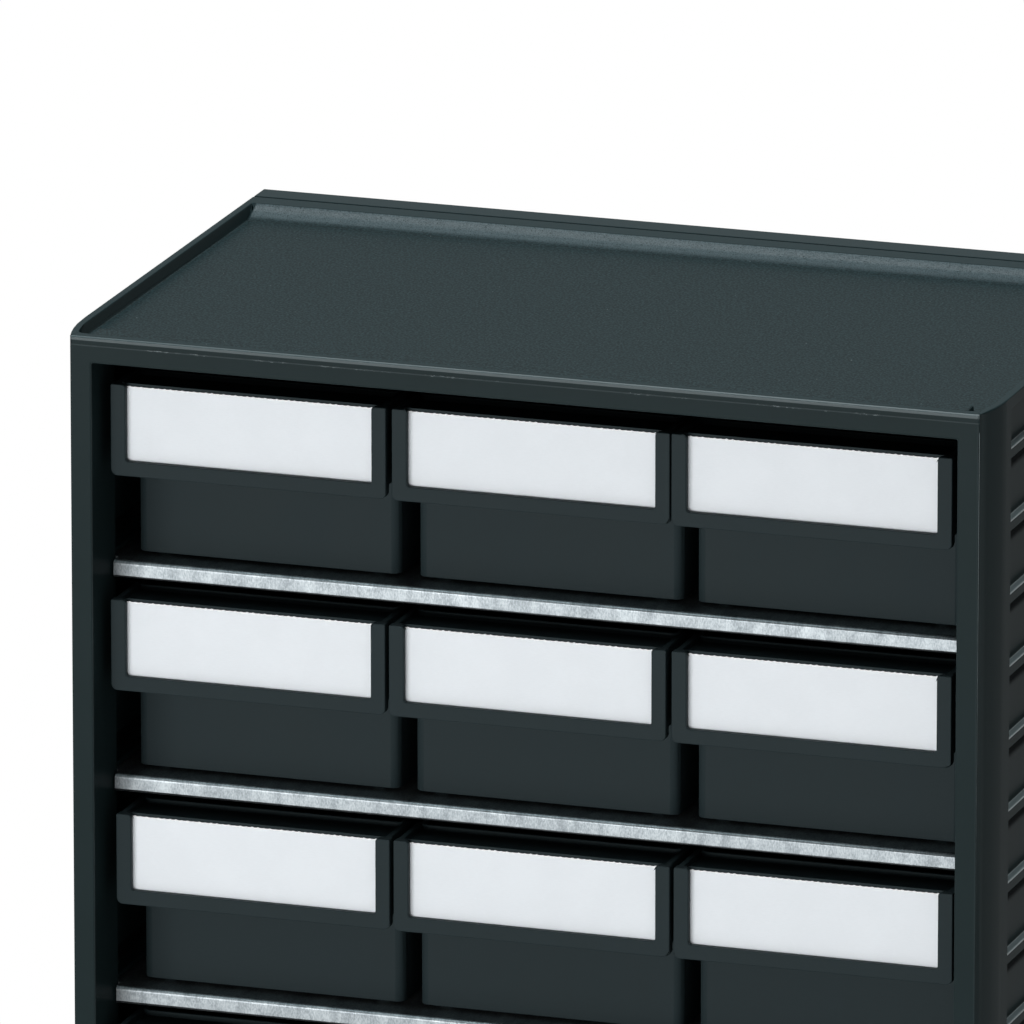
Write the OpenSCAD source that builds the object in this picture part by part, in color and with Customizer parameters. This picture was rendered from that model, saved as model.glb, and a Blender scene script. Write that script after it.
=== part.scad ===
// Parts bin cabinet: a moulded shell with a stacking tray on top, steel shelves,
// a separate rear cover and twelve sliding bins with label cards.
// Millimetres, +Z up, front towards -Y, origin under the middle of the foot ring.

/* [Shell] */
// Overall width at the widest point of the side bands
body_w = 310; // [300:1:420]
// Overall depth including the rear cover
body_d = 196; // [180:1:260]
// Overall height over four rows
body_h = 303; // [280:1:400]
// Rim top down to the level where the top row begins
head_h = 7.2; // [6.6:0.1:12]
// Ground up to the floor that the bottom row slides on
base_h = 9.4; // [8.6:0.1:14]
// Moulded wall of the shell
wall_t = 2.2; // [1.8:0.1:2.6]
// Width of the front face between the side bands
face_inset = 3.3; // [2:0.1:4.5]
// Depth over which the side bands flare out
flare_d = 20; // [14:0.5:22]
// Depth of the smooth side band behind the front face
band_d = 25; // [24.5:0.1:32]
// Width of the front face beside the opening
jamb_w = 7; // [6:0.1:12]
// Side clearance between the jamb and the outer bins
jamb_gap = 4; // [2:0.1:6]
// Front face above the opening, measured from the rim
lintel_h = 8.7; // [8:0.1:12]
// Depth of the inner jamb walls
jamb_return = 23; // [22.4:0.1:24]
// Width of the polished strip around the opening
edge_land = 3.2; // [2:0.1:5]
// Depth of the step behind that strip
edge_step = 0.25; // [0.15:0.05:0.5]

/* [Tray top] */
// Depth of the tray below its rim
tray_h = 3.7; // [3:0.1:4.2]
// Thickness of the tray floor
tray_t = 2.4; // [2:0.1:3]
// Width of the side rims
rim_w = 2.55; // [2:0.05:3]
// Slope of the rims' inner faces over their height
rim_draw = 1.5; // [0.5:0.1:2]
// Width of the front rim at the corner pockets
front_rim = 4; // [3.6:0.1:6]
// Radius of the corner pockets
pocket_r = 3; // [1.5:0.1:4]
// Radius of the front lip
lip_r = 1.2; // [0.8:0.1:1.6]
// Height of the lip above its parting step
parting_h = 2.95; // [2:0.05:4]
// Depth of the parting step
parting_step = 0.15; // [0.1:0.05:0.4]
// Width of the front lip in front of the land
lip_w = 3.4; // [2.6:0.1:4.2]
// Drop from the lip to the land
land_drop = 0.35; // [0.2:0.05:0.6]
// Rear edge of the land, from the front
land_d = 12.3; // [10:0.1:16]
// Run of the land's sloping rear face
land_run = 2.3; // [1:0.1:4]
// Corner pocket between the rim and the land
pocket_w = 5; // [3:0.1:8]
// Draw of the land's ends over their length
land_draw = 0.7; // [0:0.1:1.5]
// Depth of the concave rise at the rear of the tray
cove_d = 10.3; // [6:0.1:14]
// Flat ledge between that rise and the seam
ledge_d = 8.2; // [6:0.1:12]

/* [Outside ribs] */
// Depth of the recessed side panel
panel_h = 4; // [3:0.1:4.4]
// How far each rib stands out of the panel
rib_out = 2.7; // [1.5:0.1:2.9]
// Height of a rib
rib_h = 3.6; // [2.4:0.1:5]
// Ribs for each row
ribs_per_row = 3; // [2:1:4]
// Upper face of a rib above the shelf below it
rib_level = 12.9; // [8:0.1:16]
// Outer face of the upper border above the panel
border_h = 3.9; // [3.4:0.1:4.4]
// Fall of the upper border's sloping underside
border_fall = 2.6; // [2:0.1:3.5]
// Rise of the lower border's sloping top
skirt_rise = 1.6; // [1:0.1:3]
// Depth of the border at the rear end of the panel
rear_band = 8.5; // [7:0.1:14]

/* [Foot ring] */
// Thickness of the ring that nests in the tray below
ring_t = 2.4; // [1.6:0.1:3.2]
// Outer radius of the ring's corners
ring_r = 3.6; // [3.4:0.1:6]
// Clearance of the ring in a tray
ring_gap = 0.45; // [0.3:0.05:1]
// Clearance of the skirt above the rim below
skirt_gap = 0.3; // [0.2:0.05:0.6]

/* [Rear cover] */
// Depth of the cover's flange
cover_d = 10.3; // [8:0.1:16]
// Gap in the seam between the shell and the cover
seam_gap = 0.5; // [0.25:0.05:0.6]
// Wall of the cover
cover_t = 2.4; // [1.8:0.1:3]
// Radius of the cover's outer edges
cover_r = 1.2; // [0.8:0.1:1.8]
// Wall of the tongue that enters the shell
tongue_t = 1.8; // [1.2:0.1:2.4]
// Reach of the tongue into the shell
tongue_in = 5; // [3:0.1:7]
// Height of the snap ridges on the tongue
snap_h = 0.7; // [0.4:0.1:0.9]
// Length of a snap ridge
snap_l = 24; // [12:1:40]
// Width of a snap ridge
snap_w = 2; // [1:0.1:2.2]
// Setback of a snap ridge from the edge of the tongue
snap_in = 1; // [0.6:0.1:1.4]
// Running clearance of the tongue and of the shelves
fit_gap = 0.3; // [0.2:0.05:0.5]

/* [Shelves] */
// Sheet thickness
sheet_t = 0.9; // [0.7:0.1:1.2]
// Front face of the folded lip, from the front of the shell
shelf_set = 18.9; // [17:0.1:20]
// Height of the folded lip
shelf_lip = 5.8; // [4.5:0.1:6.4]
// Outer radius of the fold
fold_r = 1.4; // [1.2:0.1:2]
// Height of the hem folded back behind the lip
hem_h = 3.4; // [2:0.1:4]
// Reach of the side ledges that carry a shelf
ledge_w = 3.2; // [2.5:0.1:3.8]
// Thickness of a side ledge
ledge_t = 1.6; // [1.2:0.1:2.4]
// Gap behind a shelf
shelf_end_gap = 1.4; // [0.6:0.1:4]

/* [Bins] */
// Gap between neighbouring bin fronts
front_gap = 1.2; // [0.8:0.1:3]
// Front of the bins, from the front of the shell
bin_set = 8.5; // [4:0.1:9.5]
// Gap between the rear of a bin and the cover's tongue
bin_end_gap = 2.2; // [1:0.05:50]
// Gap between the top of a bin and the lip above it
bin_head_gap = 4.4; // [4:0.1:14]
// Lower edge of the front frame above the shelf
frame_low = 31.2; // [24:0.1:36]
// Depth of the frame's outer face
frame_t = 3.4; // [3:0.1:4.4]
// Radius of the frame's lower corners
frame_r = 2; // [1:0.1:4]
// Width of the side bars
bar_w = 4.9; // [3.6:0.1:7]
// Height of the bottom bar
bar_h = 4.8; // [3.4:0.1:7]
// Inner corner radius of the window
window_r = 1.1; // [0.6:0.1:2]
// Wall of the label holder and the hood
hood_t = 1.5; // [1.2:0.1:2]
// Distance from the frame's face to the bin's front wall
hood_d = 19.8; // [17.5:0.1:24]
// Width of the rims beside the ledge
hood_rim = 2; // [1.4:0.1:2.6]
// Drop from the rims to the ledge
hood_drop = 1.8; // [1:0.1:2.5]
// Setback of the hood's cheeks from the frame's sides
cheek_in = 0.5; // [0.3:0.1:1]
// Lower end of the cheeks above the frame's lower edge
cheek_up = 3.6; // [1:0.1:6]
// Setback of the bin's side walls from the frame's sides
wall_in = 2; // [1.2:0.1:4]
// Wall of the bin
bin_wall = 1.5; // [1.2:0.1:2]
// Floor of the bin
bin_floor = 1.5; // [1.2:0.1:2.4]
// Radius of the bin's upright corners
bin_r = 3; // [1.8:0.1:6]
// Height of the runners under the floor
runner_h = 0.9; // [0.6:0.1:1.4]
// Width of a runner
runner_w = 4; // [2:0.1:8]
// Distance of the runners from the bin's side
runner_in = 6; // [3.5:0.5:16]
// Length of the raised rear part that stops the bin
tail_l = 36; // [24:1:50]
// Clearance over the raised part
tail_gap = 1.4; // [0.8:0.1:2]
// Side play that a bin rests in
bin_play = 0.9; // [0:0.1:0.9]

/* [Label cards] */
// Card thickness
card_t = 0.4; // [0.3:0.05:0.6]
// Thickness of the lips that hold the card
card_lip = 2.2; // [1.6:0.1:2.4]
// Depth of the card slot
slot_t = 0.8; // [0.7:0.05:1.2]
// How far the lips reach over the card
card_hold = 1.2; // [0.6:0.1:2]
// Card edge below the frame's top
card_low = 0.8; // [0.3:0.1:3]
// Side clearance of the card in its slot
card_gap = 0.3; // [0.2:0.05:0.6]
// Distance between the perforation nibs
nib_pitch = 2; // [1.6:0.2:4]
// Height of a perforation nib
nib_h = 0.2; // [0.1:0.05:0.5]

/* [Hidden] */
$fn = 48;
wide_fn = 180;
rows = 4;
columns = 3;
row_names = ["row1", "row2", "row3", "row4"];
column_names = ["left", "middle", "right"];
function bin_node(r, c) = str("bin_", row_names[r], "_", column_names[c]);
function card_node(r, c) = str("label_card_", row_names[r], "_", column_names[c]);
bin_cells = [for (r = [0 : rows - 1]) for (c = [0 : columns - 1]) [r, c]];
// Resting place of each bin as a share of its side play
rest_share = [
    [-0.55, 0.45, -0.2],
    [-0.95, -0.8, 0.05],
    [0.6, 0.8, 1],
    [-0.3, 0.2, 0.4]
];

// Height of successive nibs as a share of the tallest
nib_rise = [1, 0.5, 0.8, 0.35, 0.9, 0.6, 1];

// Overlap that joins two solids, and overshoot that clears a cut
join = 0.4;
over = 1;
// What makes a round or a slope cross the face beside it at an angle
edge_ease = 0.03;
draw_ease = 0.1;

// Main levels and planes
half_w = body_w / 2;
row_pitch = (body_h - head_h - base_h) / rows;
tray_z = body_h - tray_h;
ceiling_z = tray_z - tray_t;
skirt_z = tray_h + skirt_gap;
floor_t = tray_t;
under_z = base_h - floor_t;
seam_y = body_d - cover_d - seam_gap;
flare_r = (face_inset * face_inset + flare_d * flare_d) / (2 * face_inset);
jamb_x = half_w - face_inset - jamb_w;
front_w = (2 * (jamb_x - jamb_gap) - (columns - 1) * front_gap) / columns;
column_pitch = front_w + front_gap;
panel_x = half_w - panel_h;
inner_x = panel_x - wall_t;
panel_end = seam_y - rear_band;
function shelf_z(r) = body_h - head_h - (r + 1) * row_pitch;

// Tray planes
cove_end = seam_y - ledge_d;
cove_start = cove_end - cove_d;
cove_r = (cove_d * cove_d + tray_h * tray_h) / (2 * tray_h);
land_x = half_w - face_inset - pocket_w;

// Bin levels
bin_h = row_pitch - shelf_lip - bin_head_gap;
bin_l = seam_y - tongue_in - bin_end_gap - bin_set;
bin_side = front_w / 2 - wall_in;
tail_top = row_pitch - sheet_t - tail_gap;
ledge_z = bin_h - hood_drop;
cheek_x = front_w / 2 - cheek_in;
holder_d = card_lip + slot_t + hood_t;
window_x = front_w / 2 - bar_w;
slot_x = window_x + card_hold + card_gap;
slot_z = frame_low + bar_h - card_hold;

// Colours
shell_colour = [0.17, 0.19, 0.20];
bin_colour = [0.19, 0.21, 0.22];
steel_colour = [0.72, 0.75, 0.77];
card_colour = [0.92, 0.93, 0.94];

// Solid bar along X with its section drawn in depth and height
module along_x(half) {
    translate([-half, 0, 0])
        rotate([90, 0, 90])
            linear_extrude(2 * half) children();
}

// Both sides of a shape drawn on the right
module both_sides() {
    children();
    mirror([1, 0, 0]) children();
}

// Right half of the shell's plan, drawn in from its outline by a wall
module half_plan(inset, y0, y1) {
    arc_x = half_w - flare_r;
    translate([0, flare_d - join]) square([half_w - inset, y1 - flare_d + join]);
    translate([0, y0]) square([arc_x + join, flare_d - y0 + join]);
    intersection() {
        translate([arc_x, y0]) square([flare_r, flare_d - y0]);
        translate([arc_x, flare_d]) circle(r = flare_r - inset, $fn = wide_fn);
    }
}

module plan(inset, y0, y1) {
    half_plan(inset, y0, y1);
    mirror([1, 0, 0]) half_plan(inset, y0, y1);
}

// Section of the material to take off a convex edge: the round meets both faces
// at a slight angle
module edge_off(r) {
    middle = edge_ease - r;
    difference() {
        translate([middle, middle]) square(r + over);
        translate([middle, middle]) circle(r = r);
    }
}

// The tray with its land left standing
module tray_cut() {
    intersection() {
        union() {
            difference() {
                translate([0, 0, tray_z]) linear_extrude(tray_h + over) tray_plan();
                translate([0, 0, body_h]) land();
            }
            intersection() {
                translate([0, 0, body_h])
                    along_x(half_w - rim_w + draw_ease)
                        translate([cove_start, cove_r - tray_h])
                            circle(r = cove_r, $fn = wide_fn);
                translate([-half_w, cove_start, tray_z - over])
                    cube([body_w, cove_d + over, tray_h + 2 * over]);
            }
        }
        rim_slopes();
    }
    translate([-land_x, lip_w, body_h - land_drop])
        cube([2 * land_x, land_d + land_run, land_drop + over]);
}

// Plan of the tray, rounded where its front rim meets the flare of the sides
module tray_plan() {
    arc_x = half_w - flare_r;
    reach = flare_r - rim_w + draw_ease - pocket_r;
    y = front_rim + pocket_r;
    x = arc_x + sqrt(reach * reach - (flare_d - y) * (flare_d - y));
    out = 2 * pocket_r / reach;
    difference() {
        plan(rim_w - draw_ease, front_rim, cove_start + join);
        both_sides()
            difference() {
                polygon([
                    [x, y],
                    [x, front_rim - over],
                    [half_w, front_rim - over],
                    [x + (x - arc_x) * out, y + (y - flare_d) * out]
                ]);
                translate([x, y]) circle(r = pocket_r + edge_ease);
            }
    }
}

// Room between the sloping inner faces of the side rims
module rim_slopes() {
    rise = 2 * over;
    fall = tray_h + over;
    slope = rim_draw / tray_h;
    top_x = half_w - rim_w;
    translate([0, seam_y, body_h])
        rotate([90, 0, 0])
            linear_extrude(seam_y)
                polygon([
                    [-top_x + slope * fall, -fall],
                    [top_x - slope * fall, -fall],
                    [top_x + slope * rise, rise],
                    [-top_x - slope * rise, rise]
                ]);
}

module land() {
    foot = tray_h + over;
    rear = land_d + land_run;
    intersection() {
        along_x(half_w)
            polygon([
                [front_rim - over, -foot],
                [rear + land_run * over / tray_h, -foot],
                [land_d, 0],
                [land_d, over * 2],
                [front_rim - over, over * 2]
            ]);
        translate([0, 0, -foot])
            linear_extrude(foot + 2 * over)
                polygon([
                    [-land_x, front_rim - over],
                    [land_x, front_rim - over],
                    [land_x - land_draw, rear + over],
                    [-land_x + land_draw, rear + over]
                ]);
    }
}

// Rounded front lip and its parting step
module lip_cut() {
    translate([0, 0, body_h])
        along_x(half_w + over) mirror([1, 0]) edge_off(lip_r);
    translate([-half_w - over, -over, body_h - parting_h])
        cube([body_w + 2 * over, over + parting_step, parting_h + over]);
}

// Opening, chamber and the hollows of the jambs
module chamber_cut() {
    top_z = body_h - lintel_h;
    translate([-jamb_x, -over, base_h])
        cube([2 * jamb_x, jamb_return + 2 * over, top_z - base_h]);
    translate([-jamb_x - edge_step, edge_land, base_h])
        cube([2 * (jamb_x + edge_step), jamb_return, top_z - base_h]);
    translate([-jamb_x, wall_t, top_z - over])
        cube([2 * jamb_x, jamb_return, ceiling_z - top_z + over]);
    translate([-inner_x, jamb_return, base_h])
        cube([2 * inner_x, seam_y + over - jamb_return, ceiling_z - base_h]);
    both_sides() jamb_hollow();
}

module jamb_hollow() {
    hollow_x = jamb_x + edge_step + wall_t - join;
    translate([0, 0, base_h])
        linear_extrude(ceiling_z - base_h) {
            intersection() {
                translate([hollow_x, wall_t])
                    square([half_w - hollow_x, band_d - 2 * wall_t]);
                half_plan(wall_t, wall_t, seam_y);
            }
            translate([hollow_x, wall_t])
                square([inner_x - hollow_x, jamb_return]);
        }
}

// Recess of one side panel, with sloping ends at the borders
module panel_cut() {
    low_z = skirt_z + border_h;
    high_z = body_h - border_h;
    translate([0, panel_end, 0])
        rotate([90, 0, 0])
            linear_extrude(panel_end - band_d)
                polygon([
                    [panel_x, low_z + skirt_rise],
                    [half_w + over, low_z - over * skirt_rise / panel_h],
                    [half_w + over, high_z + over * border_fall / panel_h],
                    [panel_x, high_z - border_fall]
                ]);
}

module side_ribs() {
    pitch = row_pitch / ribs_per_row;
    for (i = [0 : rows * ribs_per_row - 1])
        translate([
            panel_x - join,
            band_d - join,
            shelf_z(rows - 1) + rib_level + i * pitch - rib_h
        ])
            cube([rib_out + join, panel_end - band_d + 2 * join, rib_h]);
}

// Channel around the rear edge, open towards the cover
module rear_channel() {
    depth = rear_band - wall_t;
    translate([0, seam_y + over, 0])
        rotate([90, 0, 0])
            linear_extrude(depth + over)
                difference() {
                    translate([-half_w + wall_t, under_z])
                        square([body_w - 2 * wall_t, body_h - wall_t - under_z]);
                    translate([-panel_x, under_z - over])
                        square([2 * panel_x, tray_z - under_z + over]);
                }
}

// Ledges that carry the shelves
module shelf_ledges() {
    run = seam_y - shelf_end_gap - tongue_in - band_d;
    for (r = [0 : rows - 2])
        for (z = [shelf_z(r) - sheet_t - ledge_t, shelf_z(r) + fit_gap])
            translate([inner_x - ledge_w, band_d, z])
                cube([ledge_w + join, run, ledge_t]);
}

// Stop under the ceiling, level with the shelf lips
module top_stop() {
    stop_z = shelf_z(0) + row_pitch - shelf_lip;
    translate([-jamb_x - join, shelf_set, stop_z])
        cube([2 * (jamb_x + join), 2 * sheet_t, ceiling_z - stop_z + join]);
}

module foot_ring() {
    ring_x = half_w - rim_w - rim_draw - ring_gap;
    ring_y0 = land_d + land_run + ring_gap;
    ring_y1 = cove_start - ring_gap;
    linear_extrude(under_z + join)
        difference() {
            rounded_rect(-ring_x, ring_y0, ring_x, ring_y1, ring_r);
            rounded_rect(
                -ring_x + ring_t,
                ring_y0 + ring_t,
                ring_x - ring_t,
                ring_y1 - ring_t,
                ring_r - ring_t
            );
        }
}

module rounded_rect(x0, y0, x1, y1, r) {
    translate([x0 + r, y0]) square([x1 - x0 - 2 * r, y1 - y0]);
    translate([x0, y0 + r]) square([x1 - x0, y1 - y0 - 2 * r]);
    for (x = [x0 + r, x1 - r]) for (y = [y0 + r, y1 - r]) translate([x, y]) circle(r = r);
}

// Grooves that the cover's snap ridges click into
module snap_places(extra) {
    for (z = [base_h + row_pitch, body_h - head_h - row_pitch])
        both_sides()
            translate([
                inner_x - fit_gap - join,
                seam_y - tongue_in + snap_in - extra,
                z - snap_l / 2 - extra
            ])
                cube([
                    join + fit_gap + snap_h + extra,
                    snap_w + 2 * extra,
                    snap_l + 2 * extra
                ]);
}

module shell() {
    difference() {
        translate([0, 0, skirt_z]) linear_extrude(body_h - skirt_z) plan(0, 0, seam_y);
        translate([0, 0, skirt_z - over])
            linear_extrude(under_z - skirt_z + over) plan(wall_t, wall_t, seam_y + over);
        chamber_cut();
        both_sides() panel_cut();
        rear_channel();
        tray_cut();
        lip_cut();
        snap_places(fit_gap);
    }
    foot_ring();
    both_sides() side_ribs();
    both_sides() shelf_ledges();
    top_stop();
}

module cabinet_body() {
    color(shell_colour) translate([0, -body_d / 2, 0]) shell();
}

// Rear cover: a shallow pan whose tongue enters the shell
module cover() {
    front = seam_y + seam_gap;
    high = body_h - skirt_z;
    tongue_x = inner_x - fit_gap;
    tongue_low = base_h + fit_gap;
    tongue_high = ceiling_z - fit_gap;
    difference() {
        translate([-half_w, front, skirt_z]) cube([body_w, cover_d, high]);
        translate([-half_w + cover_t, front - over, skirt_z + cover_t])
            cube([body_w - 2 * cover_t, cover_d - cover_t + over, high - 2 * cover_t]);
        translate([0, body_d, body_h]) along_x(half_w + over) edge_off(cover_r);
        translate([0, body_d, skirt_z])
            along_x(half_w + over) mirror([0, 1]) edge_off(cover_r);
        both_sides()
            translate([half_w, body_d, skirt_z - over])
                linear_extrude(high + 2 * over) edge_off(cover_r);
    }
    translate([0, body_d - cover_t + join, 0])
        rotate([90, 0, 0])
            linear_extrude(body_d - cover_t + join - seam_y + tongue_in)
                difference() {
                    translate([-tongue_x, tongue_low])
                        square([2 * tongue_x, tongue_high - tongue_low]);
                    translate([-tongue_x + tongue_t, tongue_low + tongue_t])
                        square([
                            2 * (tongue_x - tongue_t),
                            tongue_high - tongue_low - 2 * tongue_t
                        ]);
                }
    snap_places(0);
}

module rear_cover() {
    color(shell_colour) translate([0, -body_d / 2, 0]) cover();
}

// Folded steel shelf: plate, lip with a hemmed edge, and a narrower front
module shelf(r) {
    end_y = seam_y - shelf_end_gap - tongue_in;
    hem_z = -shelf_lip + sheet_t;
    front_x = jamb_x - fit_gap;
    color(steel_colour)
        translate([0, -body_d / 2, shelf_z(r)]) {
            along_x(front_x) {
                translate([shelf_set + fold_r, -sheet_t])
                    square([jamb_return + over - shelf_set - fold_r, sheet_t]);
                intersection() {
                    translate([shelf_set + fold_r, -fold_r])
                        difference() {
                            circle(r = fold_r);
                            circle(r = fold_r - sheet_t);
                        }
                    translate([shelf_set - over, -fold_r])
                        square([fold_r + over, fold_r + over]);
                }
                translate([shelf_set, hem_z]) square([sheet_t, -fold_r - hem_z]);
                translate([shelf_set + sheet_t / 2, hem_z])
                    square([1.5 * sheet_t, hem_h - sheet_t]);
                translate([shelf_set + sheet_t, hem_z])
                    difference() {
                        circle(r = sheet_t);
                        translate([-2 * sheet_t, join]) square([4 * sheet_t, 2 * sheet_t]);
                    }
            }
            translate([-inner_x + fit_gap, jamb_return + fit_gap, -sheet_t])
                cube([
                    2 * (inner_x - fit_gap),
                    end_y - jamb_return - fit_gap,
                    sheet_t
                ]);
        }
}

// Place of a bin: its middle, the front plane and the shelf under it
module at_cell(r, c) {
    translate([
        (c - (columns - 1) / 2) * column_pitch + rest_share[r][c] * bin_play,
        -body_d / 2 + bin_set,
        shelf_z(r)
    ]) children();
}

// Upright plate facing forward, drawn in width and height
module front_plate(y0, y1) {
    translate([0, y1, 0]) rotate([90, 0, 0]) linear_extrude(y1 - y0) children();
}

module frame_outline() {
    half = front_w / 2;
    translate([-half, frame_low + frame_r]) square([front_w, bin_h - frame_low - frame_r]);
    translate([-half + frame_r, frame_low]) square([front_w - 2 * frame_r, frame_r + over]);
    for (s = [-1, 1]) translate([s * (half - frame_r), frame_low + frame_r]) circle(r = frame_r);
}

// Window that is open at the top, with rounded corners inside and at its mouth
module window_outline() {
    low = frame_low + bar_h;
    translate([-window_x, low + window_r])
        square([2 * window_x, bin_h - low - window_r + over]);
    translate([-window_x + window_r, low])
        square([2 * (window_x - window_r), window_r + over]);
    for (s = [-1, 1]) translate([s * (window_x - window_r), low + window_r]) circle(r = window_r);
    for (s = [-1, 1])
        difference() {
            translate([s * window_x - window_r, bin_h - window_r])
                square([2 * window_r, window_r + over]);
            translate([s * (window_x + window_r), bin_h - window_r]) circle(r = window_r);
        }
}

// Label holder, hood and cheeks in front of the bin
module bin_front() {
    difference() {
        front_plate(0, frame_t) frame_outline();
        front_plate(-over, card_lip + join) window_outline();
        card_slot();
    }
    difference() {
        front_plate(frame_t - join, holder_d)
            translate([-cheek_x, frame_low + cheek_up])
                square([2 * cheek_x, ledge_z - frame_low - cheek_up]);
        card_slot();
    }
    front_plate(holder_d - hood_t, holder_d)
        translate([-slot_x - join, frame_low + bar_h])
            square([2 * (slot_x + join), ledge_z - frame_low - bar_h]);
    translate([-cheek_x, holder_d - join, ledge_z - hood_t])
        cube([2 * cheek_x, hood_d - holder_d + bin_wall, hood_t]);
    both_sides()
        difference() {
            translate([cheek_x - hood_rim, frame_t - join, frame_low + cheek_up])
                cube([
                    hood_rim,
                    hood_d - frame_t + bin_r,
                    bin_h - frame_low - cheek_up
                ]);
            card_slot();
        }
}

module card_slot() {
    translate([-slot_x, card_lip, slot_z])
        cube([2 * slot_x, slot_t, bin_h - slot_z + over]);
}

module bin_plan(inset) {
    rounded_rect(
        -bin_side + inset,
        hood_d + inset,
        bin_side - inset,
        bin_l - inset,
        bin_r - inset
    );
}

// Walls and floor of the bin, with the raised rear part
module bin_tub() {
    difference() {
        translate([0, 0, runner_h]) linear_extrude(tail_top - runner_h) bin_plan(0);
        translate([0, 0, runner_h + bin_floor])
            linear_extrude(tail_top) bin_plan(bin_wall);
        translate([-front_w, 0, bin_h])
            cube([2 * front_w, bin_l - tail_l, tail_top]);
    }
    both_sides()
        translate([bin_side - runner_in - runner_w, hood_d + bin_r, 0])
            cube([runner_w, bin_l - hood_d - 2 * bin_r, runner_h + join]);
}

module bin(r, c) {
    color(bin_colour)
        at_cell(r, c) {
            bin_front();
            bin_tub();
        }
}

function nib_top(i) = nib_h * nib_rise[i % len(nib_rise)];

// Card with a nibbed upper edge where it was torn from its sheet
module label_card(r, c) {
    half = slot_x - card_gap;
    top = bin_h - card_low - slot_z;
    nibs = floor(2 * half / nib_pitch);
    y = card_lip + (slot_t - card_t) / 2;
    color(card_colour)
        at_cell(r, c)
            front_plate(y, y + card_t)
                translate([0, slot_z])
                    polygon(concat(
                        [[-half, 0], [half, 0], [half, top - nib_h]],
                        [for (i = [nibs - 1 : -1 : 0]) for (k = [0.8, 0.6, 0.4, 0.2])
                            [
                                (i - nibs / 2 + k) * nib_pitch,
                                top - nib_h + (k == 0.6 || k == 0.4 ? nib_top(i) : 0)
                            ]
                        ],
                        [[-half, top - nib_h]]
                    ));
}

cabinet_body();
rear_cover();
shelf(0);  // shelf_1
shelf(1);  // shelf_2
shelf(2);  // shelf_3
for (p = bin_cells) {
    bin(p[0], p[1]);
    label_card(p[0], p[1]);
}
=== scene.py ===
import math

import bpy
import bmesh
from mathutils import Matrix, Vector


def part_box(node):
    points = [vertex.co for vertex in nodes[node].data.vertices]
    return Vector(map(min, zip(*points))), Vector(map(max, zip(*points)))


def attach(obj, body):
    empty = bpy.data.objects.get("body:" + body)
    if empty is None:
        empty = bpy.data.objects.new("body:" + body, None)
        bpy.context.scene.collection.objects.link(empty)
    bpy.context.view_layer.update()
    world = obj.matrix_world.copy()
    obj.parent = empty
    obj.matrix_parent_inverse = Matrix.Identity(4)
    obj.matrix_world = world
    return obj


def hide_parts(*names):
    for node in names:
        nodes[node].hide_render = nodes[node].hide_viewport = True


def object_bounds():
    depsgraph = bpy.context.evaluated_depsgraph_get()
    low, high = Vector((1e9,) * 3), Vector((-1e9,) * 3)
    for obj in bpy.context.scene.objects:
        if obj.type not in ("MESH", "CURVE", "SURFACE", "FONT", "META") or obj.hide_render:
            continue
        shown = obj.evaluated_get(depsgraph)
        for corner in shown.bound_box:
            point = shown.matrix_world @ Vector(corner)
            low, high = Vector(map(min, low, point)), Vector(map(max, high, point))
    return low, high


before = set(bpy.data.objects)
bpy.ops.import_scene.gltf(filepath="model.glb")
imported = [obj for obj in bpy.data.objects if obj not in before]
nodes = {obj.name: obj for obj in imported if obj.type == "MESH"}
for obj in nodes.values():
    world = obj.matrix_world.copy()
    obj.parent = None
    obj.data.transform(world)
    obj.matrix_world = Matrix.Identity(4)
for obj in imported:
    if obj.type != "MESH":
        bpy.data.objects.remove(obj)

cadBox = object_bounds()
mm = 0.001
print("frame loaded:", len(nodes), "nodes")


def linear(hexColour):
    # sRGB hex to the linear values that the shaders take
    parts = [int(hexColour[i:i + 2], 16) / 255 for i in (1, 3, 5)]
    return tuple(p / 12.92 if p <= 0.04045 else ((p + 0.055) / 1.055) ** 2.4
                 for p in parts) + (1.0,)


def addNode(tree, kind, settings=None, values=None, links=None):
    node = tree.nodes.new(kind)
    for name, value in (settings or {}).items():
        setattr(node, name, value)
    for name, value in (values or {}).items():
        node.inputs[name].default_value = value
    for name, socket in (links or {}).items():
        tree.links.new(socket, node.inputs[name])
    return node


def fill(tree, sockets, values):
    # Each value is a constant or the output of another node
    for socket, value in zip(sockets, values):
        if isinstance(value, (int, float, tuple)):
            socket.default_value = value
        else:
            tree.links.new(value, socket)


def maths(tree, operation, *values):
    node = addNode(tree, "ShaderNodeMath", {"operation": operation})
    fill(tree, node.inputs, values)
    return node.outputs[0]


def times(tree, first, *others):
    for other in others:
        first = maths(tree, "MULTIPLY", first, other)
    return first


def plus(tree, a, b):
    return maths(tree, "ADD", a, b)


def minus(tree, a, b):
    return maths(tree, "SUBTRACT", a, b)


def larger(tree, a, b):
    return maths(tree, "MAXIMUM", a, b)


def absolute(tree, value):
    return maths(tree, "ABSOLUTE", value)


def rise(tree, value, low, high):
    # 0 below low, 1 above high, smooth between
    return addNode(tree, "ShaderNodeMapRange", {"interpolation_type": "SMOOTHSTEP"},
                   {"From Min": low, "From Max": high}, {"Value": value}).outputs["Result"]


def fall(tree, value, low, high):
    # 1 below low, 0 above high, smooth between
    return minus(tree, 1.0, rise(tree, value, low, high))


def noise(tree, place, grain, detail=2.0, rough=0.5, stretch=(1, 1, 1)):
    # grain is the size of one blotch in metres, stretch makes it longer along an axis
    at = addNode(tree, "ShaderNodeMapping", values={"Scale": tuple(1 / s for s in stretch)},
                 links={"Vector": place})
    values = {"Scale": 1 / grain, "Detail": detail, "Roughness": rough}
    return addNode(tree, "ShaderNodeTexNoise", values=values,
                   links={"Vector": at.outputs["Vector"]}).outputs["Fac"]


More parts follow.
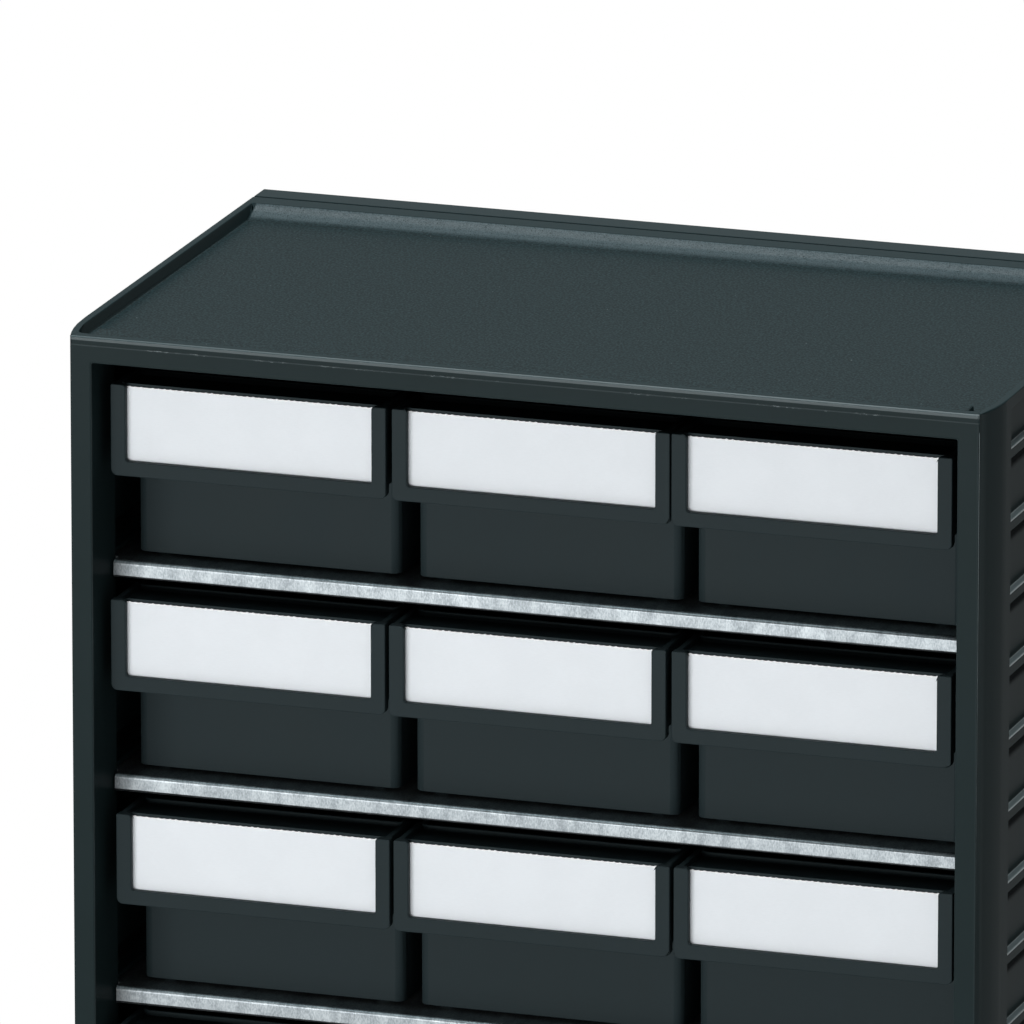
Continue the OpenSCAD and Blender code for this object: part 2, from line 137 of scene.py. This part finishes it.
def mixColour(tree, factor, a, b):
    node = addNode(tree, "ShaderNodeMix", {"data_type": "RGBA", "clamp_factor": True})
    fill(tree, (node.inputs[0], node.inputs[6], node.inputs[7]), (factor, a, b))
    return node.outputs[2]


def mixNumber(tree, factor, a, b):
    node = addNode(tree, "ShaderNodeMix", {"data_type": "FLOAT", "clamp_factor": True})
    fill(tree, (node.inputs[0], node.inputs[2], node.inputs[3]), (factor, a, b))
    return node.outputs[0]


def split(tree, vector):
    return addNode(tree, "ShaderNodeSeparateXYZ", links={"Vector": vector}).outputs


def newMaterial(name):
    material = bpy.data.materials.new(name)
    material.use_nodes = True
    tree = material.node_tree
    tree.nodes.clear()
    place = addNode(tree, "ShaderNodeTexCoord").outputs["Object"]
    return material, tree, place


def addSurface(tree, shader):
    out = addNode(tree, "ShaderNodeOutputMaterial")
    tree.links.new(shader, out.inputs["Surface"])


def addPrincipled(tree, height, constants, links):
    bump = addNode(tree, "ShaderNodeBump", values={"Strength": 1.0, "Distance": 1.0},
                   links={"Height": height})
    shader = addNode(tree, "ShaderNodeBsdfPrincipled", values=constants,
                     links={**links, "Normal": bump.outputs["Normal"]})
    addSurface(tree, shader.outputs["BSDF"])


# Shell: injection-moulded ABS. The tool was spark eroded for the tray and fine-blasted for
# the sides, which leaves dull skins there. The front and the rims are ground and keep a soft
# gloss, and the lip and the rib tops are polished. Hands and stacked cabinets have rubbed
# scuffs in patches along the parting line. Light is painted into the colour too: a lighter
# tone on faces that look up, painted highlights on the lip, the rib tops, spots of the cove's
# grain, the parting line, the mouth's edges and one front corner, and painted shadow under
# each rib.
shellLook = {
    # colours of the skins
    "colour": "#1C2829",
    "paler": "#202C2E",
    # painted light: faces that look up get a lighter tone than the front and sides
    "paintedTopLight": "#223336",
    # painted highlight on the cove, laid on spots of its grain
    "paintedCoveHighlight": "#485B61",
    # painted highlight on the rib tops
    "paintedRibHighlight": "#87979A",
    # painted highlight on the rounded lip
    "paintedLipHighlight": "#374649",
    # painted shadow under each rib
    "paintedRibShadow": "#15191A",
    "grainColour": "#1F2C2E",
    "grainSpeck": "#2F4246",
    # colour of real scuffs, also used for the painted edge highlights
    "scuffAndHighlight": "#7F898B",
    # where each skin ends
    "soft": 0.5 * mm,
    "trayHalfWidth": 151.3 * mm,
    "trayFront": -94.6 * mm,
    "trayRear": 79.2 * mm,
    "trayLevel": 298.4 * mm,
    "sideTop": (296.4 * mm, 297.4 * mm),
    "cove": (70.5 * mm, 74.5 * mm),
    "seam": 87.2 * mm,
    "lipLevel": (301.45 * mm, 301.75 * mm),
    "lipFront": (-97.45 * mm, -97.25 * mm),
    "sideways": (0.5, 0.85),   # size of the normal's X on a side
    "upwards": (0.3, 0.6),     # the normal's Z on a top
    # ribs of the side panels
    "ribX": 151.2 * mm,
    "ribEdge": 0.1 * mm,
    "firstRib": 18.7 * mm,
    "ribPitch": 23.8667 * mm,
    "ribShade": (0.74, 0.84),  # share of the pitch above which the rib shades the panel
    "bandEnd": -72.5 * mm,
    # wear, and painted highlights on edges
    "partingLevel": 300.05 * mm,
    "partingReach": (0.09 * mm, 0.3 * mm),
    "mouthX": 144.7 * mm,
    "mouthTop": 294.3 * mm,
    "mouthReach": (0.06 * mm, 0.3 * mm),
    "cornerX": 151.55 * mm,
    "cornerReach": (0.1 * mm, 0.4 * mm),
    "frontFace": (-97.4 * mm, -97.2 * mm),
    "rubLength": 0.9 * mm,
    "rubStretch": (2, 1, 0.4),
    "rubs": (0.53, 0.64),
    "rubPatch": 14 * mm,
    "rubPatches": (0.5, 0.62),
    # an even painted highlight along the parting line and the mouth's edges
    "paintedEdgeHighlight": 0.12,
    # a painted highlight down one front corner
    "paintedCornerHighlight": 0.03,
    "chip": 1.1 * mm,
    "chips": (0.79, 0.82),
    # grain
    "erosion": 0.8 * mm,       # spark craters are about 0.1 mm; drawn this coarse to show
    "erosionDepth": 0.05 * mm,
    "specks": (0.38, 0.66),
    "coveGrain": 0.42 * mm,
    # spots of the cove's grain that take the painted highlight
    "coveHighlightSpots": (0.16, 0.66),
    "coveGlint": (0.16, 0.68),
    "satin": 0.3 * mm,
    "satinDepth": 0.006 * mm,
    "cloud": 26 * mm,
    # roughness under the skin's gloss, and the gloss itself
    "frontRoughness": 0.55,
    "roughnessSwing": 0.12,
    "sideRoughness": 0.92,
    "grainRoughness": 0.85,
    "specular": 0.02,
    "groundGloss": 0.09,
    "sideGloss": 0.095,
    "topGloss": 0.035,
    "coverGloss": 0.07,
    "trayGloss": 0.085,
    "lipGloss": 0.7,
    "ribGloss": 0.9,
    "coveGloss": 0.48,
    "glossRoughness": 0.27,
}


def shellZones(tree, xyz, look):
    # Masks from 0 to 1 for the skins that the tool's makers set apart, and for the painted
    # shadow under each rib
    soft = look["soft"]
    geometry = addNode(tree, "ShaderNodeNewGeometry").outputs
    normal = split(tree, geometry["Normal"])
    across = absolute(tree, xyz["X"])
    zones = {
        "sideways": rise(tree, absolute(tree, normal["X"]), *look["sideways"]),
        "upwards": rise(tree, normal["Z"], *look["upwards"]),
        "cover": rise(tree, xyz["Y"], look["seam"] - soft, look["seam"]),
        "lip": times(tree, rise(tree, xyz["Z"], *look["lipLevel"]),
                     fall(tree, xyz["Y"], *look["lipFront"])),
    }
    zones["tray"] = times(
        tree,
        fall(tree, across, look["trayHalfWidth"] - soft, look["trayHalfWidth"]),
        rise(tree, xyz["Y"], look["trayFront"], look["trayFront"] + soft),
        fall(tree, xyz["Y"], look["trayRear"] - soft, look["trayRear"]),
        rise(tree, xyz["Z"], look["trayLevel"] - soft, look["trayLevel"]))
    zones["cove"] = times(tree, rise(tree, xyz["Y"], *look["cove"]), zones["tray"])

    side = fall(tree, xyz["Z"], *look["sideTop"])
    ribX, ribEdge = look["ribX"], look["ribEdge"]
    zones["ribTop"] = times(tree, zones["upwards"], side,
                            rise(tree, across, ribX, ribX + ribEdge))
    aboveFirst = minus(tree, xyz["Z"], look["firstRib"])
    ribPhase = maths(tree, "FRACT", maths(tree, "DIVIDE", aboveFirst, look["ribPitch"]))
    # painted shadow: a band on the panel under each rib, where the rib shades it
    zones["paintedRibShadow"] = times(
        tree, rise(tree, ribPhase, *look["ribShade"]), side,
        fall(tree, across, ribX - ribEdge, ribX),
        rise(tree, xyz["Y"], look["bandEnd"], look["bandEnd"] + soft), zones["sideways"])
    return zones


def shellWearAndHighlight(tree, place, xyz, look):
    # Real rubs come in patches along the parting line; an even painted highlight runs along
    # the whole line, the mouth's edges and one front corner
    across = absolute(tree, xyz["X"])
    patches = rise(tree, noise(tree, place, look["rubPatch"], 2), *look["rubPatches"])
    rubs = noise(tree, place, look["rubLength"], 3, 0.7, look["rubStretch"])
    rubs = times(tree, rise(tree, rubs, *look["rubs"]), patches)
    offLine = absolute(tree, minus(tree, xyz["Z"], look["partingLevel"]))
    line = fall(tree, offLine, *look["partingReach"])
    # painted highlight along the mouth's edges
    offMouth = absolute(tree, larger(tree, minus(tree, across, look["mouthX"]),
                                 minus(tree, xyz["Z"], look["mouthTop"])))
    mouthHighlight = fall(tree, offMouth, *look["mouthReach"])
    # painted highlight down the front corner at plus X
    offCorner = absolute(tree, minus(tree, xyz["X"], look["cornerX"]))
    corner = fall(tree, offCorner, *look["cornerReach"])
    # real rubs in patches, over an even painted highlight along the parting line
    wearAndHighlight = times(tree, line, larger(tree, rubs, look["paintedEdgeHighlight"]))
    wearAndHighlight = larger(tree, wearAndHighlight, times(tree, mouthHighlight, look["paintedEdgeHighlight"]))
    wearAndHighlight = larger(tree, wearAndHighlight, times(tree, corner, look["paintedCornerHighlight"]))
    return times(tree, wearAndHighlight, fall(tree, xyz["Y"], *look["frontFace"]))


def makeShellAbs(look):
    material, tree, place = newMaterial("shellAbsSparkEroded")
    xyz = split(tree, place)
    zones = shellZones(tree, xyz, look)
    wearAndHighlight = shellWearAndHighlight(tree, place, xyz, look)
    tray, cove, lip = zones["tray"], zones["cove"], zones["lip"]
    cloud = noise(tree, place, look["cloud"], 3)
    craters = noise(tree, place, look["erosion"], 3, 0.6)
    coveGrain = noise(tree, place, look["coveGrain"], 2)
    satin = noise(tree, place, look["satin"], 2)

    plain = mixColour(tree, cloud, linear(look["colour"]), linear(look["paler"]))
    # painted light: a lighter tone on faces that look up
    plain = mixColour(tree, zones["upwards"], plain, linear(look["paintedTopLight"]))
    # painted highlight: the rib tops get a pale colour
    plain = mixColour(tree, zones["ribTop"], plain, linear(look["paintedRibHighlight"]))
    # painted shadow under each rib
    plain = mixColour(tree, zones["paintedRibShadow"], plain, linear(look["paintedRibShadow"]))
    eroded = mixColour(tree, rise(tree, craters, *look["specks"]),
                       linear(look["grainColour"]), linear(look["grainSpeck"]))
    chips = rise(tree, noise(tree, place, look["chip"], 1), *look["chips"])
    eroded = mixColour(tree, chips, eroded, linear(look["scuffAndHighlight"]))
    # painted highlight: the cove's colour turns paler in spots of its grain
    coveHighlight = times(tree, cove, rise(tree, coveGrain, *look["coveHighlightSpots"]))
    eroded = mixColour(tree, coveHighlight, eroded, linear(look["paintedCoveHighlight"]))
    colour = mixColour(tree, tray, plain, eroded)
    # painted highlight: the rounded lip gets a lighter colour
    colour = mixColour(tree, lip, colour, linear(look["paintedLipHighlight"]))
    # real rubs and painted edge highlights
    colour = mixColour(tree, wearAndHighlight, colour, linear(look["scuffAndHighlight"]))

    swing = times(tree, minus(tree, satin, 0.5), look["roughnessSwing"])
    roughness = plus(tree, look["frontRoughness"], swing)
    roughness = mixNumber(tree, zones["sideways"], roughness, look["sideRoughness"])
    roughness = mixNumber(tree, tray, roughness, look["grainRoughness"])
    height = mixNumber(tree, tray, times(tree, satin, look["satinDepth"]),
                       times(tree, craters, look["erosionDepth"]))

    gloss = mixNumber(tree, zones["sideways"], look["groundGloss"], look["sideGloss"])
    topGloss = mixNumber(tree, zones["cover"], look["topGloss"], look["coverGloss"])
    gloss = mixNumber(tree, zones["upwards"], gloss, topGloss)
    # the painted shadow under each rib also takes the gloss away
    gloss = mixNumber(tree, zones["paintedRibShadow"], gloss, 0.0)
    gloss = mixNumber(tree, tray, gloss, look["trayGloss"])
    gloss = larger(tree, gloss, times(tree, lip, look["lipGloss"]))
    glint = times(tree, rise(tree, coveGrain, *look["coveGlint"]), look["coveGloss"])
    gloss = larger(tree, gloss, times(tree, cove, glint))
    gloss = larger(tree, gloss, times(tree, zones["ribTop"], look["ribGloss"]))
    addPrincipled(tree, height,
                  {"IOR": 1.5, "Specular IOR Level": look["specular"],
                   "Coat Roughness": look["glossRoughness"]},
                  {"Base Color": colour, "Roughness": roughness, "Coat Weight": gloss})
    return material


# Bins: injection-moulded ABS from a fine-ground tool. The eye sees a satin skin with faint
# clouds where the melt flowed, which are a little duller than the rest.
binLook = {
    "colour": "#232D2F",
    "paler": "#273134",
    "satin": 0.32 * mm,
    "satinDepth": 0.007 * mm,
    "flow": (16 * mm, 16 * mm, 34 * mm),
    "roughness": 0.5,
    "roughnessSwing": 0.16,
    "specular": 0.07,
}


def makeBinAbs(look):
    material, tree, place = newMaterial("binAbsMoulded")
    flow = noise(tree, place, 1.0, 3, 0.55, look["flow"])
    satin = noise(tree, place, look["satin"], 2)
    colour = mixColour(tree, flow, linear(look["colour"]), linear(look["paler"]))
    swing = times(tree, minus(tree, flow, 0.5), look["roughnessSwing"])
    addPrincipled(tree, times(tree, satin, look["satinDepth"]),
                  {"IOR": 1.5, "Specular IOR Level": look["specular"]},
                  {"Base Color": colour, "Roughness": plus(tree, look["roughness"], swing)})
    return material


# Shelves: hot-dip galvanised steel sheet, skin-passed and folded. The fine spangle is
# drawn out a little by the rolls, so the lip looks grainy, with short upright flecks.
steelLook = {
    "colour": "#A3AAAD",
    "darker": "#6F767A",
    "fleckWidth": 0.5 * mm,
    "fleckLength": 2.2,        # times the width
    "broadFleck": 7,           # times the fine one
    "broadShare": 0.4,
    "flecks": (0.3, 0.7),
    "fleckDepth": 0.006 * mm,
    "bloom": 9 * mm,
    "roughness": 0.36,
    "bloomRoughness": 0.16,
}


def makeGalvanisedSteel(look):
    material, tree, place = newMaterial("galvanisedSheetSteel")
    along = (1, look["fleckLength"], look["fleckLength"])
    fine = noise(tree, place, look["fleckWidth"], 3, 0.6, along)
    broad = noise(tree, place, look["fleckWidth"] * look["broadFleck"], 2, 0.5, along)
    bloom = noise(tree, place, look["bloom"], 2)
    flecks = mixNumber(tree, look["broadShare"], fine, broad)
    colour = mixColour(tree, rise(tree, flecks, *look["flecks"]),
                       linear(look["darker"]), linear(look["colour"]))
    roughness = plus(tree, look["roughness"], times(tree, bloom, look["bloomRoughness"]))
    addPrincipled(tree, times(tree, flecks, look["fleckDepth"]), {"Metallic": 1.0},
                  {"Base Color": colour, "Roughness": roughness})
    return material


# Label cards: uncoated white card, calendered. It is matt and bright with a barely
# visible fibre, and whiter and ragged where the sheet was torn at its perforation.
cardLook = {
    "colour": "#ECF1F5",
    "fibre": "#E9EEF2",
    "torn": "#FDFEFF",
    "fibreWidth": 0.35 * mm,
    "fibreLength": 5,          # times the width
    "fibreDepth": 0.006 * mm,
    "mottle": 14 * mm,
    "shades": (0.35, 0.65),
    "tornTop": 284.81 * mm,    # just above the upper edge of the top row's cards
    "rowPitch": 71.6 * mm,
    "tornReach": 1.0 * mm,
    "tornGrain": 0.9 * mm,
    "roughness": 0.82,
    "mottleRoughness": 0.08,
}


def makeCardStock(look):
    material, tree, place = newMaterial("uncoatedCardStock")
    fibre = noise(tree, place, look["fibreWidth"], 3, 0.6, (look["fibreLength"], 1, 1))
    mottle = noise(tree, place, look["mottle"], 2)
    shade = times(tree, plus(tree, fibre, mottle), 0.5)
    colour = mixColour(tree, rise(tree, shade, *look["shades"]),
                       linear(look["fibre"]), linear(look["colour"]))
    belowTop = minus(tree, look["tornTop"], split(tree, place)["Z"])
    rows = maths(tree, "DIVIDE", belowTop, look["rowPitch"])
    belowEdge = times(tree, look["rowPitch"], maths(tree, "FRACT", rows))
    reach = times(tree, noise(tree, place, look["tornGrain"], 2), look["tornReach"])
    torn = maths(tree, "LESS_THAN", belowEdge, reach)
    colour = mixColour(tree, torn, colour, linear(look["torn"]))
    roughness = plus(tree, look["roughness"], times(tree, mottle, look["mottleRoughness"]))
    addPrincipled(tree, times(tree, fibre, look["fibreDepth"]),
                  {"IOR": 1.5, "Specular IOR Level": 0.3},
                  {"Base Color": colour, "Roughness": roughness})
    return material


shellAbs = makeShellAbs(shellLook)
binAbs = makeBinAbs(binLook)
galvanisedSteel = makeGalvanisedSteel(steelLook)
cardStock = makeCardStock(cardLook)
print("materials made")

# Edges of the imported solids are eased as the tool's own radii would leave them
edges = {
    "weld": 0.002 * mm,
    "sharp": math.radians(40),
    "rear_cover": {"width": 0.4 * mm, "segments": 3},
    "bin": {"width": 0.35 * mm, "segments": 2},
    "shelf": {"width": 0.12 * mm, "segments": 1},
}

# The shell has open edges beside very fine steps, so what shows is a welded copy of its
# node, on which each edge is eased by a share of the narrower face beside it
shellCopy = {
    "name": "cabinetShell",
    "node": "cabinet_body",
    "body": "cabinet",
    "slot": "shell_plastic",
    "weld": 0.002 * mm,
    "flat": math.radians(0.3),
    "sharp": math.radians(30),
    "width": 0.6 * mm,
    "share": 0.45,
    "segments": 3,
}


def addBevel(piece, setting, method):
    bevel = piece.modifiers.new("easedEdges", "BEVEL")
    bevel.limit_method = method
    bevel.width = setting["width"]
    bevel.segments = setting["segments"]
    bevel.use_clamp_overlap = False
    bevel.harden_normals = True
    return bevel


def easeEdges(piece, kind):
    weld = piece.modifiers.new("weld", "WELD")
    weld.merge_threshold = edges["weld"]
    addBevel(piece, edges[kind], "ANGLE").angle_limit = edges["sharp"]


def easedShell(setting, material):
    node = nodes[setting["node"]]
    skin = bmesh.new()
    skin.from_mesh(node.data)
    bmesh.ops.remove_doubles(skin, verts=skin.verts, dist=setting["weld"])
    bmesh.ops.dissolve_limit(skin, angle_limit=setting["flat"], verts=skin.verts,
                             edges=skin.edges)
    ease = skin.edges.layers.float.new("bevel_weight_edge")
    for edge in skin.edges:
        if edge.calc_face_angle(0) > setting["sharp"]:
            breadth = min(2 * face.calc_area() / face.calc_perimeter()
                          for face in edge.link_faces)
            edge[ease] = min(1, setting["share"] * breadth / setting["width"])
    bmesh.ops.connect_verts_concave(skin, faces=skin.faces)
    mesh = bpy.data.meshes.new(setting["name"])
    skin.to_mesh(mesh)
    skin.free()
    mesh.materials.append(material)
    piece = bpy.data.objects.new(setting["name"], mesh)
    bpy.context.scene.collection.objects.link(piece)
    addBevel(piece, setting, "WEIGHT")
    bevelled = piece.evaluated_get(bpy.context.evaluated_depsgraph_get())
    piece.data = bpy.data.meshes.new_from_object(bevelled)
    piece.data.name = setting["name"]
    piece.modifiers.clear()
    # The bevel's corners are kept inside the node's own box
    low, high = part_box(setting["node"])
    for vertex in piece.data.vertices:
        vertex.co = [min(max(c, a), b) for c, a, b in zip(vertex.co, low, high)]
    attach(piece, setting["body"])
    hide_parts(setting["node"])
    return piece


def dress(piece, material):
    piece.data.materials.clear()
    piece.data.materials.append(material)


for name, piece in nodes.items():
    if name.startswith("bin_"):
        dress(piece, binAbs)
        easeEdges(piece, "bin")
    elif name.startswith("label_card"):
        dress(piece, cardStock)
    elif name.startswith("shelf_"):
        dress(piece, galvanisedSteel)
        easeEdges(piece, "shelf")
    elif name == "rear_cover":
        dress(piece, shellAbs)
        easeEdges(piece, "rear_cover")
    else:
        dress(piece, shellAbs)
easedShell(shellCopy, shellAbs)
print("nodes dressed")

# Floor: a pale paper sweep that catches the contact shadow and turns white further out
floorLook = {
    "half": 6.0,
    "cuts": 24,
    "colour": "#E6E7E8",
    "fibre": "#E2E3E4",
    "fibreWidth": 1.2 * mm,
    "roughness": 0.9,
    "specular": 0.1,
    "fade": (15 * mm, 80 * mm),
    "background": 1.0,
}


def outsideFootprint(tree, place):
    # Distance on the floor from the object's footprint
    xyz = split(tree, place)
    high = cadBox[1]
    sideways = larger(tree, minus(tree, absolute(tree, xyz["X"]), high[0]), 0.0)
    backwards = larger(tree, minus(tree, absolute(tree, xyz["Y"]), high[1]), 0.0)
    squares = plus(tree, maths(tree, "POWER", sideways, 2.0),
                   maths(tree, "POWER", backwards, 2.0))
    return maths(tree, "SQRT", squares)


def makeFloor(look):
    material, tree, place = newMaterial("paperSweep")
    far = rise(tree, outsideFootprint(tree, place), *look["fade"])
    fibre = noise(tree, place, look["fibreWidth"], 2)
    paper = mixColour(tree, fibre, linear(look["fibre"]), linear(look["colour"]))
    diffuse = addNode(tree, "ShaderNodeBsdfPrincipled",
                      values={"Roughness": look["roughness"],
                              "Specular IOR Level": look["specular"]},
                      links={"Base Color": paper})
    glow = addNode(tree, "ShaderNodeEmission",
                   values={"Color": (1, 1, 1, 1), "Strength": look["background"]})
    path = addNode(tree, "ShaderNodeLightPath").outputs
    mirrored = larger(tree, path["Is Glossy Ray"], path["Is Transmission Ray"])
    seen = larger(tree, path["Is Camera Ray"], mirrored)
    mixed = addNode(tree, "ShaderNodeMixShader", links={"Fac": times(tree, far, seen)})
    tree.links.new(diffuse.outputs["BSDF"], mixed.inputs[1])
    tree.links.new(glow.outputs["Emission"], mixed.inputs[2])
    addSurface(tree, mixed.outputs["Shader"])
    sheet = bmesh.new()
    bmesh.ops.create_grid(sheet, x_segments=look["cuts"], y_segments=look["cuts"],
                          size=look["half"])
    mesh = bpy.data.meshes.new("floor")
    sheet.to_mesh(mesh)
    sheet.free()
    mesh.materials.append(material)
    floor = bpy.data.objects.new("floor", mesh)
    bpy.context.scene.collection.objects.link(floor)


# Studio: white to the camera, a weak fill on the object, and for mirrored rays a white
# sheet opposite the camera with a cool bright ceiling
skyLook = {
    "background": 1.0,
    "fill": 0.18,
    "sheetWay": (-0.32, 0.95),
    "sheetWidth": (0.6, 0.85),
    "sheetHeight": (0.45, 0.9),
    "sheet": 1.0,
    "side": 0.3,
    "front": 0.1,
    "frontToSide": (-0.1, 0.5),
    "ceiling": 2.5,
    "ceilingHeight": (0.62, 0.85),
    "ceilingColour": "#DCEFF3",
}


def makeSky(look):
    world = bpy.data.worlds.new("studioSky")
    bpy.context.scene.world = world
    world.use_nodes = True
    tree = world.node_tree
    tree.nodes.clear()
    path = addNode(tree, "ShaderNodeLightPath").outputs
    way = split(tree, addNode(tree, "ShaderNodeTexCoord").outputs["Generated"])
    sheetX, sheetY = look["sheetWay"]
    facing = plus(tree, times(tree, way["X"], sheetX), times(tree, way["Y"], sheetY))
    sheet = times(tree, rise(tree, facing, *look["sheetWidth"]),
                  fall(tree, way["Z"], *look["sheetHeight"]))
    ceiling = rise(tree, way["Z"], *look["ceilingHeight"])
    mirrored = mixNumber(tree, rise(tree, way["Y"], *look["frontToSide"]),
                         look["front"], look["side"])
    mirrored = mixNumber(tree, sheet, mirrored, look["sheet"])
    mirrored = mixNumber(tree, ceiling, mirrored, look["ceiling"])
    glossy = larger(tree, path["Is Glossy Ray"], path["Is Transmission Ray"])
    colour = mixColour(tree, times(tree, ceiling, glossy), (1.0, 1.0, 1.0, 1.0),
                       linear(look["ceilingColour"]))
    strength = mixNumber(tree, glossy, look["fill"], mirrored)
    strength = mixNumber(tree, path["Is Camera Ray"], strength, look["background"])
    sky = addNode(tree, "ShaderNodeBackground", links={"Color": colour, "Strength": strength})
    out = addNode(tree, "ShaderNodeOutputWorld")
    tree.links.new(sky.outputs["Background"], out.inputs["Surface"])


# Softboxes, in metres and watts
lamps = {
    "overheadSoftbox": {"place": (-0.15, 0.25, 2.6), "aim": (-0.15, 0.25, 0),
                        "size": (1.8, 1.7), "power": 36},
    "frontSoftbox": {"place": (-0.55, -2.2, 0.17), "aim": (0, 0, 0.17),
                     "size": (1.8, 0.32), "power": 31},
}


def turnTo(way):
    return way.to_track_quat("-Z", "Y").to_euler()


def addLamp(name, setting):
    light = bpy.data.lights.new(name, "AREA")
    light.shape = "RECTANGLE"
    light.size, light.size_y = setting["size"]
    light.energy = setting["power"]
    lamp = bpy.data.objects.new(name, light)
    bpy.context.scene.collection.objects.link(lamp)
    lamp.location = setting["place"]
    lamp.rotation_euler = turnTo(Vector(setting["aim"]) - Vector(setting["place"]))


makeFloor(floorLook)
makeSky(skyLook)
for name, setting in lamps.items():
    addLamp(name, setting)
print("studio lit")

# Camera: fitted to the edges of the object in the photograph
camera = {
    "azimuth": math.radians(18.611),
    "elevation": math.radians(15.581),
    "distance": 5693.7 * mm,
    "target": (-35.87 * mm, 0, 228.82 * mm),
    "lens": 619.06,
    "sensor": 36,
    "clipEnd": 60,
}


def placeCamera(setting):
    data = bpy.data.cameras.new("camera")
    data.sensor_width = setting["sensor"]
    data.lens = setting["lens"]
    data.clip_end = setting["clipEnd"]
    eye = bpy.data.objects.new("camera", data)
    bpy.context.scene.collection.objects.link(eye)
    around, up = setting["azimuth"], setting["elevation"]
    away = Vector((math.sin(around) * math.cos(up), -math.cos(around) * math.cos(up),
                   math.sin(up)))
    eye.location = Vector(setting["target"]) + away * setting["distance"]
    eye.rotation_euler = turnTo(-away)
    bpy.context.scene.camera = eye


placeCamera(camera)
bpy.context.scene.view_settings.view_transform = "Standard"
print("camera placed")
